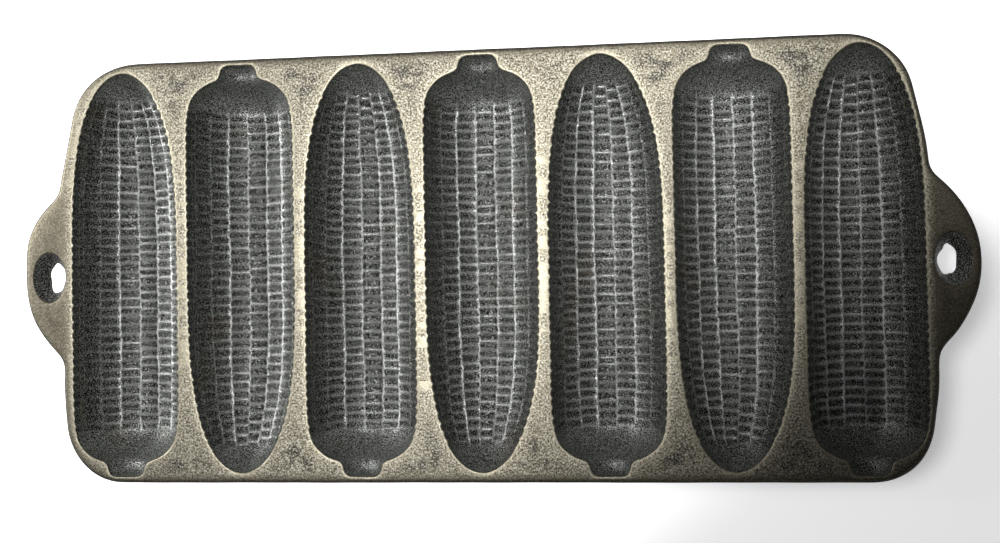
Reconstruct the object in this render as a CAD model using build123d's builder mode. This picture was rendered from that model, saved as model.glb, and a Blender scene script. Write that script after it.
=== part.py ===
"""Cast iron corn stick pan: a flat deck, seven cob shaped cups hanging from it and two hanging ears.

Millimetres, +Z up. X runs from ear to ear and Y across the pan. The origin is under the middle of
the deck, on the surface that the seven cups rest on. The real pan is one sand casting, so its regions
meet face to face, along the underside and the two side edges of the deck.
"""

import os
from math import acos, asin, cos, radians, sin, sqrt

from build123d import *

# Cobs: each cavity is half a cob, with its axis in the top face of the deck
cob_count = 7
cob_radius = 19.1
ridge_width = 3.8
cob_butt_reach = 66.8
tip_power = 3.2
butt_power = 13.5

# Stem at the butt end of each cob
stem_radius = 7.0
stem_end_radius = 6.1
stem_length = 4.3

# Kernels: raised lines between the rows, lower ones across them, and a smooth stretch at each end
row_angle = 21.0
row_count = 8
kernel_length = 3.0
row_relief = 0.7
cross_relief = 0.4
rim_relief = 0.2
smooth_butt = 9.2
smooth_tip = 10.0
fade_steps = 4
smooth_share = 0.06

# Cup shells
wall = 2.6

# Deck: its rims beyond the stems and the tips, and the slant of its sides towards the tip corners
deck_thickness = 4.0
stem_rim = 2.5
tip_rim = 3.8
slant_inset = 8.6
slant_gap = 5.0
corner_round = 22.0
rim_round = 1.0

# Hanging holes, wider at the top than underneath
hole_length = 17.6
hole_width = 12.2
hole_draft = 2.4
hole_root_rim = 0.5

# Ears
ear_rim = 2.9
ear_half_chord = 29.3
ear_shift = -1.3
ear_thickness = 6.0
ear_blend = 8.0
ear_edge_round = 1.2

# One overrun for every cut
overrun = 1.0

# Places worked out from the sizes above
cob_pitch = 2 * cob_radius + ridge_width
stem_reach = cob_butt_reach + stem_length
deck_half_depth = stem_reach + stem_rim
cob_tip_reach = deck_half_depth - tip_rim
deck_side = cob_pitch * cob_count / 2
deck_top = cob_radius + wall
seam = deck_top - deck_thickness
kernel_start = cob_butt_reach - smooth_butt
kernel_end = cob_tip_reach - smooth_tip
kernel_steps = round((kernel_start + kernel_end) / (kernel_length / 2))
row_lines = [row_angle * (row_count / 2 - row - 0.5) for row in range(row_count)]
row_bounds = [90, *row_lines, -90]
curve_steps = 7
hole_centre = deck_side + hole_root_rim + hole_width / 2
ear_depth = hole_root_rim + hole_width + ear_rim
ear_circle = (ear_half_chord**2 + ear_depth**2) / (2 * ear_depth)
ear_span = 2 * (ear_half_chord + 2 * ear_blend)


def end_point(angle, radius, reach, power):
    """Half width of a cob's end, and its distance from the cob's middle, at an angle of its curve."""
    return radius * sin(angle), reach * cos(angle) ** (2 / power)


def end_angle(distance, reach, power):
    """Angle of the curve of a cob's end at a distance from the cob's middle."""
    return acos((distance / reach) ** (power / 2))


def half_width(place):
    """Half width of the cavity at a place along it, from its butt, below zero, to its tip."""
    if place >= 0:
        return cob_radius * sqrt(1 - (place / cob_tip_reach) ** tip_power)
    if -place <= stem_neck:
        return cob_radius * sqrt(1 - (-place / cob_butt_reach) ** butt_power)
    stem_share = (-place - stem_neck) / (stem_reach - stem_neck)
    return stem_radius + stem_share * (stem_end_radius - stem_radius)


def kernel_strength(line):
    """Share of the full relief at a kernel line, which fades in and out at the ends of the rows."""
    if line < 0:
        return smooth_share
    return min(1, (line + 1) / fade_steps, (kernel_steps + 1 - line) / fade_steps)


def section_point(radius, angle):
    """Point of a cavity's section at an angle from straight down."""
    return radius * sin(radians(angle)), deck_top - radius * cos(radians(angle))


def grown_cob(growth, stem_end):
    """Smooth body of one cob about its axis, grown all round, with its stem as far as stem_end."""
    neck_angle = asin((stem_radius + growth) / (cob_radius + growth))
    turns = [neck_angle + (radians(90) - neck_angle) * step / curve_steps for step in range(curve_steps)]
    butt_side = [end_point(turn, cob_radius + growth, cob_butt_reach + growth, butt_power) for turn in turns]
    turns = [radians(90) * (1 - step / curve_steps) for step in range(curve_steps + 1)]
    tip_side = [end_point(turn, cob_radius + growth, cob_tip_reach + growth, tip_power) for turn in turns]
    with BuildPart() as cob:
        with BuildSketch(Plane.XY.offset(deck_top)):
            with BuildLine():
                side = Spline(*((x, -y) for x, y in butt_side), *tip_side)
                Polyline(side @ 1, (0, -stem_end), (stem_end_radius + growth, -stem_end), side @ 0)
            make_face()
        revolve(axis=Axis((0, 0, deck_top), (0, 1, 0)))
    return cob.part


def cob_locations():
    """Place of each cob under the deck, where every other cob is turned end for end."""
    return [
        Location((cob_pitch * (number - (cob_count - 1) / 2), 0, 0), (0, 0, 180 * (number % 2)))
        for number in range(cob_count)
    ]


# Stations along a cavity from its tip to its stem, each with its place and its kernel line
neck_angle = asin(stem_radius / cob_radius)
stem_neck = end_point(neck_angle, cob_radius, cob_butt_reach, butt_power)[1]
tip_angle = end_angle(kernel_end, cob_tip_reach, tip_power)
butt_angle = end_angle(kernel_start, cob_butt_reach, butt_power)
stations = []
for step in range(curve_steps):
    angle = tip_angle * (step + 0.5) / (curve_steps + 0.5)
    stations.append((end_point(angle, cob_radius, cob_tip_reach, tip_power)[1], -1))
for step in range(kernel_steps + 1):
    stations.append((kernel_end - step * kernel_length / 2, step))
for step in range(1, curve_steps + 1):
    angle = butt_angle + (neck_angle - butt_angle) * step / curve_steps
    stations.append((-end_point(angle, cob_radius, cob_butt_reach, butt_power)[1], -1))
stations.append((-stem_reach, -1))

# Cavity of one cob with its kernels, from above the deck down
with BuildPart() as cavity:
    for place, line in stations:
        radius = half_width(place)
        strength = kernel_strength(line)
        rim = radius - rim_relief * strength * (line % 2)
        corners = [section_point(radius - row_relief * strength, angle) for angle in row_lines]
        corners = [section_point(rim, row_bounds[0]), *corners, section_point(rim, row_bounds[-1])]
        with BuildSketch(Plane.XZ.offset(-place)):
            with BuildLine():
                for row in range(row_count + 1):
                    middle = (row_bounds[row] + row_bounds[row + 1]) / 2
                    raised = cross_relief * strength * ((line + row) % 2)
                    ThreePointArc(corners[row], section_point(radius - raised, middle), corners[row + 1])
                Polyline(
                    corners[-1],
                    (corners[-1][0], deck_top + overrun),
                    (corners[0][0], deck_top + overrun),
                    corners[0],
                )
            make_face()
    loft(ruled=True)

# Cup shell: the outside of one cob, cut where it meets its neighbours and the deck, then hollowed
with BuildPart() as cup_shell:
    add(grown_cob(wall, deck_half_depth))
    with BuildSketch():
        Rectangle(cob_pitch, 2 * deck_half_depth)
    extrude(amount=seam, mode=Mode.INTERSECT)
    add(cavity.part, mode=Mode.SUBTRACT)

# Deck
with BuildPart() as deck:
    with BuildSketch(Plane.XY.offset(seam)) as deck_outline:
        with BuildLine():
            Polyline(
                (0, deck_half_depth),
                (deck_side - slant_inset, deck_half_depth),
                (deck_side, ear_shift + ear_half_chord + slant_gap),
                (deck_side, -deck_half_depth),
                (0, -deck_half_depth),
            )
            mirror(about=Plane.YZ)
        make_face()
        fillet(deck_outline.vertices().filter_by(lambda corner: abs(corner.X) > corner_round), corner_round)
    extrude(amount=deck_thickness)
    outer_edges = deck.edges().filter_by(
        lambda edge: abs(edge.center().X) < deck_side - overrun and edge.bounding_box().size.Z < overrun
    )
    fillet(outer_edges, rim_round)
    opening = grown_cob(0, stem_reach)
    add([opening.moved(location) for location in cob_locations()], mode=Mode.SUBTRACT)
deck.part.label = "deck"

# Right ear: a rounded tab that blends into the side of the deck, with its tapered hanging hole
with BuildPart() as right_ear:
    with BuildSketch(Plane.XY.offset(deck_top - ear_thickness)) as ear_outline:
        with Locations((deck_side + ear_depth - ear_circle, ear_shift)):
            Circle(ear_circle)
        with Locations((deck_side, ear_shift)):
            Rectangle(2 * ear_circle, ear_span, align=(Align.MAX, Align.CENTER))
        blends = ear_outline.vertices().filter_by(
            lambda corner: abs(corner.X - deck_side) < overrun
            and abs(corner.Y - ear_shift) < ear_half_chord + ear_blend
        )
        fillet(blends, ear_blend)
        with Locations((deck_side, ear_shift)):
            Rectangle(ear_circle, ear_span, align=(Align.MIN, Align.CENTER), mode=Mode.INTERSECT)
    extrude(amount=ear_thickness)
    outer_edges = right_ear.edges().filter_by(
        lambda edge: edge.center().X > deck_side + overrun and edge.bounding_box().size.Z < overrun
    )
    fillet(outer_edges, ear_edge_round)
    with BuildSketch(Plane.XY.offset(deck_top)):
        with Locations((hole_centre, ear_shift)):
            Ellipse(hole_width / 2, hole_length / 2)
    with BuildSketch(Plane.XY.offset(deck_top - ear_thickness)):
        with Locations((hole_centre, ear_shift)):
            Ellipse(hole_width / 2 - hole_draft, hole_length / 2 - hole_draft)
    loft(mode=Mode.SUBTRACT)
right_ear.part.label = "right_ear"

# Left ear
with BuildPart() as left_ear:
    add(right_ear.part)
    mirror(about=Plane.YZ, mode=Mode.REPLACE)
left_ear.part.label = "left_ear"

os.makedirs("parts", exist_ok=True)
for piece in (deck, right_ear, left_ear):
    export_step(piece.part, f"parts/{piece.part.label}.step")

# Cups
for number, location in enumerate(cob_locations(), start=1):
    with BuildPart() as cob_cup:
        add(cup_shell.part.moved(location))
    cob_cup.part.label = f"cob_cup_{number}"
    export_step(cob_cup.part, f"parts/{cob_cup.part.label}.step")
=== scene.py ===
"""Cast iron corn stick pan: a worn deck, seven seasoned cob cups and two hanging ears, in metres."""

import logging
import math
from dataclasses import dataclass, field
from enum import Enum, IntEnum

import bpy
import numpy as np
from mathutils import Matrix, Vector
from mathutils.geometry import delaunay_2d_cdt
from mathutils.kdtree import KDTree


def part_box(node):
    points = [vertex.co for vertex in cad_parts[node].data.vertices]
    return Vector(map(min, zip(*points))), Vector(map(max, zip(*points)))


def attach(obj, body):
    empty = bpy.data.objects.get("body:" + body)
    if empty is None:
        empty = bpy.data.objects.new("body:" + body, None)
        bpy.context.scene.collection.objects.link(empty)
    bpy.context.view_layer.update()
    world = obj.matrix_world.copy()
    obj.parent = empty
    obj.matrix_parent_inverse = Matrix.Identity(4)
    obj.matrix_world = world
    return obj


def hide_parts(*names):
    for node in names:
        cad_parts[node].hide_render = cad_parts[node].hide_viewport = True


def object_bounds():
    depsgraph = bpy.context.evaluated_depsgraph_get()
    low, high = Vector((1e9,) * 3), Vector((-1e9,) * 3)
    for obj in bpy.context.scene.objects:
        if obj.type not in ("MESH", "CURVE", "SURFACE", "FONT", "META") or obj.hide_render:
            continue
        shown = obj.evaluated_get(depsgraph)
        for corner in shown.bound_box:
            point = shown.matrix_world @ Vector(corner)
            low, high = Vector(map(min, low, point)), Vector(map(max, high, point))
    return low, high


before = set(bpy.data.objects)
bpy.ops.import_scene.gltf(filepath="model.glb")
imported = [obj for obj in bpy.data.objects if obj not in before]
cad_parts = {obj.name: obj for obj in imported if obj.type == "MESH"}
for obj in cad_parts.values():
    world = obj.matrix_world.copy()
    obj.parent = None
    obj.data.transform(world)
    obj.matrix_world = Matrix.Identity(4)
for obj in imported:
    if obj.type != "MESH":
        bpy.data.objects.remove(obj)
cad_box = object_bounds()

log = logging.getLogger("corn_stick_pan")

MM = 0.001
TINY = 0.001 * MM
ARC_STEP = 0.4 * MM
MERGE_GAP = 0.003 * MM
SMOOTH_ANGLE = 50.0


class Side(Enum):
    """A side of the pan, with the sign of its X."""

    LEFT = -1
    RIGHT = 1


class Seed(IntEnum):
    """Where each random draw starts. A cob or a side adds its own number."""

    SCATTER = 3
    OUTLINE = 5
    TOP = 11
    KERNELS = 20
    LIP = 40
    LEAN = 60
    HOLE = 91


# Helpers for numbers and outlines
def linear(hex_colour: str) -> tuple[float, float, float, float]:
    """Turns an sRGB hex colour to linear.

    Args:
        hex_colour: six hex digits.

    Returns:
        Linear red, green, blue and an alpha of one.
    """
    channels = [int(hex_colour[start:start + 2], 16) / 255 for start in (0, 2, 4)]
    shares = [c / 12.92 if c <= 0.04045 else ((c + 0.055) / 1.055) ** 2.4 for c in channels]
    return shares[0], shares[1], shares[2], 1.0


def smooth_step(values: np.ndarray) -> np.ndarray:
    """Eases values from 0 to 1."""
    held = np.clip(values, 0, 1)
    return held * held * (3 - 2 * held)


def eased(values: np.ndarray, low: float, high: float) -> np.ndarray:
    """Eases values from 0 at a low level to 1 at a high one."""
    return smooth_step((values - low) / (high - low))


def bell(values: np.ndarray) -> np.ndarray:
    """Falls from 1 at 0 to almost nothing at 2, on both sides."""
    return np.exp(-(values**2))


def waves(places: np.ndarray, lengths: tuple[float, ...], draws: np.random.Generator) -> np.ndarray:
    """Sums sine waves with random phases.

    Args:
        places: where the sum is wanted.
        lengths: each wave's length, in the same unit.
        draws: the source of the phases.

    Returns:
        Values of about -1 to 1.
    """
    total = np.zeros_like(places)
    for length in lengths:
        total += np.sin(2 * math.pi * (places / length + draws.random()))
    return total / len(lengths)


def spaced(line: np.ndarray, count: int) -> np.ndarray:
    """Spaces the points of a line evenly.

    Args:
        line: places along the line, each a row.
        count: how many points to give.

    Returns:
        The same line with count evenly spaced points.
    """
    steps = np.hypot(*np.diff(line, axis=0).T)
    along = np.concatenate([[0], np.cumsum(steps)])
    wanted = np.linspace(0, along[-1], count)
    return np.column_stack([np.interp(wanted, along, column) for column in line.T])


def arc(centre: tuple[float, float], radius: float, start: float, end: float) -> np.ndarray:
    """Points of an arc.

    Args:
        centre: XY of its middle.
        radius: its radius.
        start: the angle in degrees where it starts.
        end: the angle in degrees where it ends.

    Returns:
        XY places, ARC_STEP apart or a little less.
    """
    count = max(3, math.ceil(abs(math.radians(end - start)) * radius / ARC_STEP))
    turns = np.radians(np.linspace(start, end, count))
    return np.column_stack([centre[0] + radius * np.cos(turns), centre[1] + radius * np.sin(turns)])


def rounded_corner(before: np.ndarray, corner: np.ndarray, after: np.ndarray, radius: float) -> np.ndarray:
    """Arc that rounds the corner of an outline.

    Args:
        before: the outline's point before the corner.
        corner: the corner.
        after: the outline's point after it.
        radius: radius of the rounding.

    Returns:
        The points of the arc.
    """
    into = (before - corner) / np.hypot(*(before - corner))
    out = (after - corner) / np.hypot(*(after - corner))
    half = math.acos(into @ out) / 2
    centre = corner + (into + out) / np.hypot(*(into + out)) * radius / math.sin(half)
    ends = [corner + way * radius / math.tan(half) - centre for way in (into, out)]
    start, end = (math.degrees(math.atan2(place[1], place[0])) for place in ends)
    return arc(tuple(centre), radius, start, start + (end - start + 180) % 360 - 180)


def outward(ring: np.ndarray, soften: int = 3) -> np.ndarray:
    """Directions away from what a closed ring encloses.

    Args:
        ring: XY places round the ring.
        soften: how many neighbours on each side each direction is averaged with.

    Returns:
        One unit direction for each place.
    """
    along = np.roll(ring, -1, axis=0) - np.roll(ring, 1, axis=0)
    along = sum(np.roll(along, shift, axis=0) for shift in range(-soften, soften + 1))
    following = np.roll(ring, -1, axis=0)
    area = (ring[:, 0] * following[:, 1] - following[:, 0] * ring[:, 1]).sum()
    across = np.column_stack([along[:, 1], -along[:, 0]]) * np.sign(area)
    return across / np.hypot(*across.T)[:, None]


def inside(places: np.ndarray, ring: np.ndarray) -> np.ndarray:
    """Tells which XY places lie inside a closed ring.

    Args:
        places: the XY places.
        ring: XY places round the ring.

    Returns:
        True for each place inside.
    """
    result = np.zeros(len(places), dtype=bool)
    for (x, y), (next_x, next_y) in zip(ring, np.roll(ring, -1, axis=0)):
        if y != next_y:
            level = (places[:, 1] > min(y, next_y)) & (places[:, 1] <= max(y, next_y))
            result ^= level & (places[:, 0] < x + (places[:, 1] - y) * (next_x - x) / (next_y - y))
    return result


def on_sheet(places: np.ndarray, rings: list[np.ndarray]) -> np.ndarray:
    """Tells which XY places lie inside the first ring and outside the others.

    Args:
        places: the XY places.
        rings: closed rings, the outer one first.

    Returns:
        True for each place on the sheet between them.
    """
    kept = inside(places, rings[0])
    for ring in rings[1:]:
        near = kept & (places > ring.min(axis=0)).all(axis=1) & (places < ring.max(axis=0)).all(axis=1)
        kept[near] &= ~inside(places[near], ring)
    return kept


def ring_distances(places: np.ndarray, rings: list[np.ndarray]) -> np.ndarray:
    """Measures how far each XY place is from the nearest point of any ring.

    Args:
        places: the XY places.
        rings: closed rings of close points.

    Returns:
        One distance for each place.
    """
    points = np.concatenate(rings)
    tree = KDTree(len(points))
    for number, point in enumerate(points.tolist()):
        tree.insert((*point, 0), number)
    tree.balance()
    return np.array([tree.find((*place, 0))[2] for place in places.tolist()])


# Helpers for meshes
def select_only(piece: bpy.types.Object) -> None:
    """Selects one object alone and makes it active.

    Args:
        piece: the object.
    """
    bpy.ops.object.select_all(action="DESELECT")
    piece.select_set(True)
    bpy.context.view_layer.objects.active = piece


def store_shares(piece: bpy.types.Object, shares: dict[str, np.ndarray]) -> None:
    """Stores one number for each vertex under each name.

    Args:
        piece: the mesh object.
        shares: the numbers, by name.
    """
    for name, values in shares.items():
        layer = piece.data.attributes.new(name, "FLOAT", "POINT")
        layer.data.foreach_set("value", np.ascontiguousarray(values, dtype=np.float32).reshape(-1))


def shaped_grid(name: str, points: np.ndarray, shares: dict[str, np.ndarray]) -> bpy.types.Object:
    """Adds a grid and moves its vertices to the points of a surface.

    Args:
        name: the object's name.
        points: rows by columns by three, in metres.
        shares: numbers to store for each vertex, by name.

    Returns:
        The grid's object, at the origin.
    """
    rows, columns = points.shape[:2]
    bpy.ops.object.select_all(action="DESELECT")
    bpy.ops.mesh.primitive_grid_add(x_subdivisions=columns - 1, y_subdivisions=rows - 1, size=1)
    piece = bpy.context.object
    piece.name = piece.data.name = name
    piece.data.vertices.foreach_set("co", points.reshape(-1).astype(np.float32))
    while piece.data.uv_layers:
        piece.data.uv_layers.remove(piece.data.uv_layers[0])
    store_shares(piece, shares)
    return piece


def closed_wall(name: str, rings: np.ndarray, shares: dict[str, np.ndarray]) -> bpy.types.Object:
    """Makes a wall through closed rings that have as many points each."""
    closed = {key: np.concatenate([value, value[:, :1]], axis=1) for key, value in shares.items()}
    return shaped_grid(name, np.concatenate([rings, rings[:, :1]], axis=1), closed)


def flat_sheet(rings: list[np.ndarray], inner: np.ndarray) -> tuple[np.ndarray, list[list[int]]]:
    """Fills the area between an outer ring and its holes with triangles.

    Args:
        rings: closed rings of XY places, the outer one first.
        inner: loose XY places inside the area.

    Returns:
        The sheet's XY places and its faces.
    """
    places: list[Vector] = []
    edges: list[tuple[int, int]] = []
    for ring in rings:
        start, count = len(places), len(ring)
        places += [Vector(place) for place in (ring / MM).tolist()]
        edges += [(start + step, start + (step + 1) % count) for step in range(count)]
    places += [Vector(place) for place in (inner / MM).tolist()]
    within_edges, same_place = 1, 1e-6
    out, _, faces, *_ = delaunay_2d_cdt(places, edges, [], within_edges, same_place)
    points = np.array([place[:] for place in out]) * MM
    middles = np.array([points[face].mean(axis=0) for face in faces])
    return points, [face for face, kept in zip(faces, on_sheet(middles, rings)) if kept]


def sheet_object(
    name: str, points: np.ndarray, faces: list[list[int]], shares: dict[str, np.ndarray],
) -> bpy.types.Object:
    """Makes a mesh object from points and faces.

    Args:
        name: the object's name.
        points: the places of its vertices.
        faces: the vertex numbers of each face.
        shares: numbers to store for each vertex, by name.

    Returns:
        The object, at the origin.
    """
    mesh = bpy.data.meshes.new(name)
    mesh.from_pydata(points.tolist(), [], faces)
    piece = bpy.data.objects.new(name, mesh)
    bpy.context.scene.collection.objects.link(piece)
    store_shares(piece, shares)
    return piece


def joined(name: str, pieces: list[bpy.types.Object]) -> bpy.types.Object:
    """Joins meshes, merges their shared edges and points their faces outwards.

    Args:
        name: the name of the result.
        pieces: the meshes to join.

    Returns:
        The joined object.
    """
    select_only(pieces[0])
    for piece in pieces:
        piece.select_set(True)
    bpy.ops.object.join()
    piece = bpy.context.object
    piece.name = piece.data.name = name
    bpy.ops.object.mode_set(mode="EDIT")
    bpy.ops.mesh.select_all(action="SELECT")
    bpy.ops.mesh.remove_doubles(threshold=MERGE_GAP)
    bpy.ops.mesh.normals_make_consistent(inside=False)
    bpy.ops.object.mode_set(mode="OBJECT")
    return piece


def part_at(piece: bpy.types.Object, place: float, sign: int, keep_beyond: bool) -> None:
    """Cuts a piece along a plane across X and closes the cut.

    Args:
        piece: the mesh object.
        place: X of the plane.
        sign: the side on which beyond lies.
        keep_beyond: whether the part beyond the plane is kept, or the part before it.
    """
    select_only(piece)
    bpy.ops.object.mode_set(mode="EDIT")
    bpy.ops.mesh.select_all(action="SELECT")
    bpy.ops.mesh.bisect(
        plane_co=(place, 0, 0), plane_no=(sign, 0, 0), use_fill=True,
        clear_inner=keep_beyond, clear_outer=not keep_beyond, threshold=TINY,
    )
    bpy.ops.object.mode_set(mode="OBJECT")


def finished(piece: bpy.types.Object, node: str, material: bpy.types.Material) -> None:
    """Shades a piece, dresses it and puts it in the frame in place of its CAD node.

    Args:
        piece: the finished mesh object.
        node: the CAD node that it stands for.
        material: its finish.
    """
    select_only(piece)
    bpy.ops.object.shade_smooth_by_angle(angle=math.radians(SMOOTH_ANGLE))
    piece.data.materials.clear()
    piece.data.materials.append(material)
    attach(piece, "root")
    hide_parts(node)
    log.info("%s: %d faces", piece.name, len(piece.data.polygons))


# Form of the cobs and their kernels
@dataclass(frozen=True)
class CobForm:
    """Sizes of a half cob about its axis, which lies in the top face of the deck."""

    radius: float = 19.1 * MM
    tip_reach: float = 69.8 * MM
    butt_reach: float = 66.8 * MM
    tip_power: float = 3.2
    butt_power: float = 13.5
    stem_radius: float = 7.0 * MM
    stem_end_radius: float = 6.1 * MM
    stem_reach: float = 71.1 * MM
    end_round: float = 1.3 * MM
    neck_blend: float = 2.0 * MM
    samples: int = 1600
    end_points: int = 24
    butt_points: int = 300
    tip_points: int = 500

    def profile(self, growth: float = 0.0, stem_end: float | None = None) -> np.ndarray:
        """Side of the cob from the end of its stem to its tip.

        Args:
            growth: how far the side stands outside the cavity.
            stem_end: how far the stem reaches, if not as far as the cavity.

        Returns:
            Place along the cob and radius, evenly spaced along the side.
        """
        radius = self.radius + growth
        end = stem_end or self.stem_reach
        turn = np.linspace(0, math.pi / 2, self.end_points)
        neck = math.asin((self.stem_radius + growth) / radius)
        butt = np.linspace(neck, math.pi / 2, self.butt_points)
        tip = np.linspace(math.pi / 2, 0, self.tip_points)
        places = np.concatenate([
            [-end],
            -end + self.end_round * (1 - np.cos(turn)),
            -(self.butt_reach + growth) * np.clip(np.cos(butt), 0, 1) ** (2 / self.butt_power),
            (self.tip_reach + growth) * np.clip(np.cos(tip), 0, 1) ** (2 / self.tip_power),
        ])
        stem = self.stem_end_radius + growth - self.end_round * (1 - np.sin(turn))
        radii = np.concatenate([[0], stem, radius * np.sin(butt), radius * np.sin(tip)])
        even = spaced(np.column_stack([places, radii]), self.samples)
        window = round(self.neck_blend / np.hypot(*np.diff(even, axis=0).T).mean())
        average = np.ones(2 * window + 1) / (2 * window + 1)
        soft = np.column_stack([
            np.convolve(np.pad(line, window, "edge"), average, "valid") for line in even.T
        ])
        number = np.arange(self.samples)
        kept = smooth_step(np.minimum(number, number[::-1]) / (2 * window))[:, None]
        return spaced(even + (soft - even) * kept, self.samples)


def climb(share: np.ndarray, round_share: float, power: int) -> np.ndarray:
    """Climbs from a kernel's rounded floor, at 0, to the line or the bar beside it, at 1.

    Args:
        share: how far each point is from the middle of the floor.
        round_share: how much of the height the round of the floor takes.
        power: how sharply the rest stands up.

    Returns:
        The share of the height at each point.
    """
    held = np.clip(share, 0, 1)
    return round_share * held**2 + (1 - round_share) * held**power


@dataclass
class Kernels:
    """Rows of kernels on one cob: sharp lines between the rows, and lower blunt bars across them.

    Angles are in degrees, and those named for the wall, the rim and the painted shade on the walls are from
    straight down. Each stray is the length in mm of a wave of the lines, and its height in degrees.
    """

    seed: int
    row_angle: float = 21.0
    pitch: float = 3.1 * MM
    start: float = -59.5 * MM
    end: float = 64.0 * MM
    fade: float = 5.5 * MM
    line_relief: float = 0.85 * MM
    line_width: float = 0.5 * MM
    line_round_share: float = 0.4
    line_power: int = 6
    bar_relief: float = 0.7 * MM
    bar_width: float = 0.74 * MM
    bar_round_share: float = 0.45
    bar_power: int = 4
    bar_shares: tuple[float, float] = (0.35, 0.4)
    bead_width: float = 0.9 * MM
    bead_share: float = 0.35
    patch_length: float = 13.0 * MM
    patch_share: float = 0.12
    lean_share: float = 0.4
    # Painted light: a share of line on the smooth ends of each cavity, which lightens their dark slopes.
    end_light_share: float = 0.3
    wall_angles: tuple[float, float] = (35.0, 70.0)
    wall_loss_share: float = 0.45
    rim_angles: tuple[float, float] = (65.0, 85.0)
    rim_gain_share: float = 0.3
    # Painted shade: the lines and bars lose this share of their line share between these angles up the
    # walls.
    wall_shade_angles: tuple[float, float] = (25.0, 65.0)
    wall_shade_share: float = 0.6
    strays: tuple[tuple[float, float], ...] = ((64.0, 0.5), (23.0, 0.35), (9.0, 0.35), (3.1, 0.5))
    most_turn: float = 1.0
    most_phase: float = 0.6
    bar_shift: float = 0.06
    pitch_shares: tuple[float, float] = (0.95, 1.06)
    bar_strengths: tuple[float, float] = (0.6, 1.0)
    row_strengths: tuple[float, float] = (0.85, 1.0)
    rows: int = 14
    steps: int = 60

    def __post_init__(self) -> None:
        """Draws what is uneven about this cob."""
        draws = np.random.default_rng(self.seed)
        self.turn = draws.uniform(-self.most_turn, self.most_turn)
        self.line_phases = draws.random((self.rows, len(self.strays)))
        self.row_phases = draws.random(self.rows) * self.most_phase
        self.row_pitches = self.pitch * draws.uniform(*self.pitch_shares, self.rows)
        self.shifts = draws.normal(0, self.bar_shift, (self.rows, self.steps))
        self.strengths = draws.uniform(*self.bar_strengths, (self.rows, self.steps))
        self.line_strengths = draws.uniform(*self.row_strengths, self.rows)
        self.leans = draws.choice([-1.0, 1.0], self.rows)

    def wander(self, line: np.ndarray, places: np.ndarray) -> np.ndarray:
        """Works out how far a line between rows strays.

        Args:
            line: the line's number at each point.
            places: place along the cob.

        Returns:
            The angle in degrees by which it strays.
        """
        stray = np.zeros_like(places)
        for wave, (length, height) in enumerate(self.strays):
            stray += height * np.sin(2 * math.pi * (places / (length * MM) + self.line_phases[line, wave]))
        return stray

    def rows_at(self, places: np.ndarray, angles: np.ndarray) -> tuple[np.ndarray, np.ndarray]:
        """Finds the row that each point lies in.

        Args:
            places: place along the cob.
            angles: degrees from straight down.

        Returns:
            The row's number, and the share of the way across it.
        """
        shifted = (angles - self.turn) / self.row_angle + self.rows / 2 - 0.5
        row = np.floor(shifted).astype(int)
        for _ in range(2):
            low = row + self.wander(row, places) / self.row_angle
            high = row + 1 + self.wander(row + 1, places) / self.row_angle
            settled, row = row, row + (shifted > high) - (shifted < low)
        return settled, np.clip((shifted - low) / (high - low), 0, 1)

    def bars_at(
        self, places: np.ndarray, row: np.ndarray, across: np.ndarray,
    ) -> tuple[np.ndarray, np.ndarray]:
        """Finds the nearest bar across the row that each point lies in.

        Args:
            places: place along the cob.
            row: the row's number.
            across: share of the way across the row.

        Returns:
            How far the bar is, as a share of a kernel's length, and how strong it is there.
        """
        steps = (places - self.start) / self.row_pitches[row] + 1.0 + self.row_phases[row]
        number = np.clip(np.floor(steps).astype(int), 1, self.steps - 3)
        number += (steps > number + 1 + self.shifts[row, number + 1]).astype(int)
        number -= (steps < number + self.shifts[row, number]).astype(int)
        low = number + self.shifts[row, number]
        high = number + 1 + self.shifts[row, number + 1]
        share = np.clip((steps - low) / (high - low), 0, 1)
        strength = self.strengths[row, np.where(share < 0.5, number, number + 1)]
        towards = np.where(self.leans[row] > 0, across, 1 - across)
        return np.minimum(share, 1 - share), strength * (1 - self.lean_share + self.lean_share * towards)

    def relief(
        self, places: np.ndarray, angles: np.ndarray, radii: np.ndarray,
    ) -> tuple[np.ndarray, np.ndarray]:
        """Works out the kernels' relief over the smooth cob.

        Args:
            places: place along the cob.
            angles: degrees from straight down.
            radii: the smooth cob's radius there.

        Returns:
            The height in metres, and each point's share of a line or a bar, with painted shade up the walls
            and painted light on the smooth ends.
        """
        places, angles, radii = np.broadcast_arrays(places, angles, radii)
        row, across = self.rows_at(places, angles)
        from_bar, strength = self.bars_at(places, row, across)
        from_line = np.minimum(across, 1 - across)
        nearest = np.where(across < 0.5, row, row + 1)
        patchy = np.sin(2 * math.pi * (places / self.patch_length + self.line_phases[nearest, 1]))
        line_strength = self.line_strengths[nearest] * (1 - self.patch_share + self.patch_share * patchy)
        steep = np.abs(angles)
        fade = smooth_step((places - self.start) / self.fade) * smooth_step((self.end - places) / self.fade)

        line_height = self.line_relief * climb(1 - 2 * from_line, self.line_round_share, self.line_power)
        line_height = line_height * line_strength
        line_height = line_height * (1 - self.wall_loss_share * eased(steep, *self.wall_angles))
        bar_height = self.bar_relief * climb(1 - 2 * from_bar, self.bar_round_share, self.bar_power)
        bar_height = bar_height * (0.5 + 0.5 * strength)
        bar_height = bar_height * (1 + self.rim_gain_share * eased(steep, *self.rim_angles))
        height = fade * (line_height**3 + bar_height**3) ** (1 / 3)

        bar_gap = from_bar * self.row_pitches[row]
        line_gap = from_line * radii * math.radians(self.row_angle)
        bead = 1 - self.bead_share + self.bead_share * bell(bar_gap / self.bead_width)
        line = bell(line_gap / self.line_width) * line_strength * bead
        bar = bell(bar_gap / self.bar_width) * (self.bar_shares[0] + self.bar_shares[1] * strength)
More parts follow.
